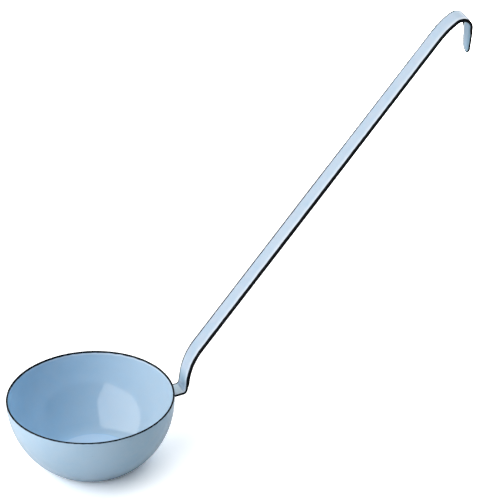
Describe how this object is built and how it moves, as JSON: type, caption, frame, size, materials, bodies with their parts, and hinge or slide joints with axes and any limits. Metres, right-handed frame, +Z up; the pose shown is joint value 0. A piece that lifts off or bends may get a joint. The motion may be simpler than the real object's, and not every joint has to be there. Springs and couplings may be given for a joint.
{
  "type": "soup ladle",
  "caption": "Enamelled steel soup ladle with a deep round bowl, a dark rim, a long slanted strip handle welded to its side and a hanging hook.",
  "frame": {"origin": "centre of the bowl's flat base, on the underside", "axes": "+Z up along the bowl's axis, +X towards the side on which the handle leans, +Y completes the right-hand frame"},
  "size_m": [0.2852, 0.0952, 0.2295],
  "materials": {
    "steel": "bare rolled sheet under the enamel",
    "ground_enamel": "gloss, fired glass enamel",
    "bead_enamel": "gloss, fired glass enamel",
    "cover_enamel": "high gloss, fired glass enamel"
  },
  "bodies": {
    "root": {"bowl_pressing": "steel", "bowl_ground_coat": "ground_enamel", "bowl_lining": "cover_enamel", "bowl_outer_coat": "cover_enamel", "base_coat": "cover_enamel", "rim_bead": "bead_enamel", "handle_strip": "steel", "handle_ground_coat": "ground_enamel", "handle_face_coat": "cover_enamel", "handle_back_coat": "cover_enamel", "handle_edge_bead": "bead_enamel", "spot_welds": "steel", "joint_enamel": "bead_enamel"}
  },
  "joints": []
}
